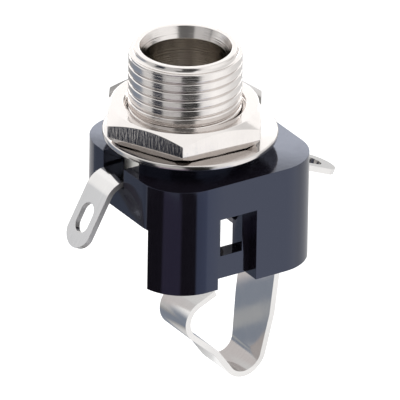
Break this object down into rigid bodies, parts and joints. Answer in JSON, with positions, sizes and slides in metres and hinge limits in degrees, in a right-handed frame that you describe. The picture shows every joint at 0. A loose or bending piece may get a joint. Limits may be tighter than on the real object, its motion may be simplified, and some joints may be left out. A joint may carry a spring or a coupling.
{
  "type": "mono jack socket",
  "caption": "Panel-mount mono jack socket: threaded metal bushing with nut and washer, black moulded housing, folded tip spring and two solder lugs.",
  "frame": {"origin": "on the plug's axis, in the plane where a panel seats on the housing's collar", "axes": "+Z out of the panel along the threaded bushing, -Y towards the open contact pocket, -X towards the ground lug"},
  "size_m": [0.0255, 0.0158, 0.0314],
  "materials": {
    "black_plastic": "polished black moulding",
    "nickel_bushing": "bright nickel plate on turned brass",
    "nickel_nut": "bright nickel plate with milled flats",
    "nickel_washer": "nickel plate on stamped steel",
    "contact_strip": "tinned strip",
    "spring_strip": "satin nickel silver spring strip"
  },
  "bodies": {
    "root": {"housing": "black_plastic", "bushing": "nickel_bushing", "nut": "nickel_nut", "washer": "nickel_washer", "ground_contact": "contact_strip", "tip_contact": "spring_strip"}
  },
  "joints": []
}
